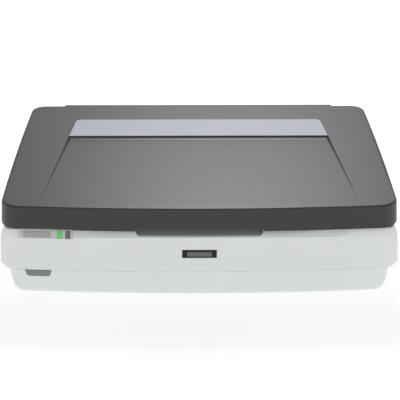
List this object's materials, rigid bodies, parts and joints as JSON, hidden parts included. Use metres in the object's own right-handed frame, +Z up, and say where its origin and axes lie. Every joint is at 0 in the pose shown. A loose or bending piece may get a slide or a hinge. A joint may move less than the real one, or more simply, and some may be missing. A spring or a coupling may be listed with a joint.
{
  "type": "flatbed scanner",
  "caption": "A large flatbed scanner with a dark hinged lid, a pale bowed case, a finger grip at the front and a belt-driven carriage under the glass",
  "frame": {"origin": "under the middle of the case on the desk plane", "axes": "+Z up, the front with the finger grip faces -Y, +X to the right seen from the front"},
  "size_m": [0.656, 0.4579, 0.158],
  "materials": {
    "shell_dark": "satin, fine texture",
    "shell_light": "satin, fine texture",
    "tray_light": "satin, fine texture",
    "trim_pale": "satin",
    "grip_grey": "satin",
    "panel_grey": "satin",
    "plate_grey": "satin",
    "lens_green": "clear, lit",
    "lens_grey": "clear, unlit",
    "badge_black": "gloss",
    "badge_metal": "brushed",
    "button_grey": "satin",
    "foam_white": "soft foam with a smooth skin",
    "sheet_white": "satin",
    "glass": "polished",
    "rubber": "matte",
    "black_plastic": "matte",
    "steel": "satin",
    "rod_steel": "polished",
    "motor_metal": "satin",
    "brass": "satin",
    "white_plastic": "satin",
    "board_green": "gloss lacquer",
    "board_tan": "bare laminate",
    "chip_dark": "matte",
    "belt_black": "matte",
    "mirror": "polished",
    "lamp_white": "opal",
    "cable_grey": "satin film"
  },
  "bodies": {
    "case": {"lower_case": "tray_light", "upper_case": "shell_light", "document_glass": "glass", "glass_clips": "steel", "calibration_strip": "white_plastic", "scale_front": "white_plastic", "scale_side": "white_plastic", "grip_liner": "grip_grey", "indicator_panel": "panel_grey", "name_plate": "plate_grey", "ready_lens": "lens_green", "error_lens": "lens_grey", "badge_plate": "badge_black", "badge_inlay": "badge_metal", "button_switch": "board_green", "rubber_feet": "rubber", "case_screws": "steel", "power_inlet": "black_plastic", "inlet_pins": "steel", "usb_port": "steel", "option_port": "steel", "port_tongues": "white_plastic", "main_board": "board_green", "power_board": "board_tan", "board_parts": "chip_dark", "board_posts": "brass", "flat_cable": "cable_grey", "guide_rod": "rod_steel", "rod_clamps": "black_plastic", "slide_rail": "steel", "rail_posts": "black_plastic", "stepper_motor": "motor_metal", "idler_bracket": "steel", "drive_belt": "belt_black", "hinge_sockets": "black_plastic"},
    "hinge_posts": {"hinge_post_left": "black_plastic", "hinge_post_right": "black_plastic"},
    "lid": {"lid_top": "shell_dark", "lid_trim_plate": "trim_pale", "lid_underplate": "sheet_white", "document_mat": "foam_white", "lid_bumpers": "rubber", "lid_screws": "steel", "hinge_brackets": "steel", "hinge_pins": "steel", "hinge_springs": "steel"},
    "carriage": {"carriage_frame": "black_plastic", "carriage_lamps": "lamp_white", "carriage_mirrors": "mirror", "lens_barrel": "black_plastic", "sensor_board": "board_green", "rod_bushings": "brass", "belt_clamp": "white_plastic", "slider_pad": "white_plastic"},
    "drive_pulley": {"drive_pulley": "white_plastic"},
    "idler_pulley": {"idler_pulley": "white_plastic"},
    "power_button": {"power_button": "button_grey"},
    "transport_lock": {"transport_lock": "black_plastic"}
  },
  "joints": [
    {"name": "post_lift", "type": "slide", "parent": "case", "child": "hinge_posts", "axis": [0, 0, 1], "range_m": [0, 0.03]},
    {"name": "lid_hinge", "type": "hinge", "parent": "hinge_posts", "child": "lid", "pos_m": [0, 0.219, 0.133], "axis": [-1, 0, 0], "range_deg": [0, 80]},
    {"name": "carriage_slide", "type": "slide", "parent": "case", "child": "carriage", "axis": [1, 0, 0], "range_m": [0, 0.45]},
    {"name": "drive_pulley_turn", "type": "hinge", "parent": "case", "child": "drive_pulley", "pos_m": [-0.28, -0.12, 0.0575], "axis": [0, 0, 1], "range_deg": [0, 2813]},
    {"name": "idler_pulley_turn", "type": "hinge", "parent": "case", "child": "idler_pulley", "pos_m": [0.28, -0.12, 0.0575], "axis": [0, 0, 1], "range_deg": [0, 2813]},
    {"name": "power_press", "type": "slide", "parent": "case", "child": "power_button", "axis": [0, 1, 0], "range_m": [0, 0.0015], "stiffness_N_per_m": 800},
    {"name": "lock_slide", "type": "slide", "parent": "case", "child": "transport_lock", "axis": [0, 1, 0], "range_m": [0, 0.012]}
  ],
  "couplings": [
    {"joint": "drive_pulley_turn", "follows": "carriage_slide", "rad_per_m": 108.7},
    {"joint": "idler_pulley_turn", "follows": "carriage_slide", "rad_per_m": 108.7}
  ]
}
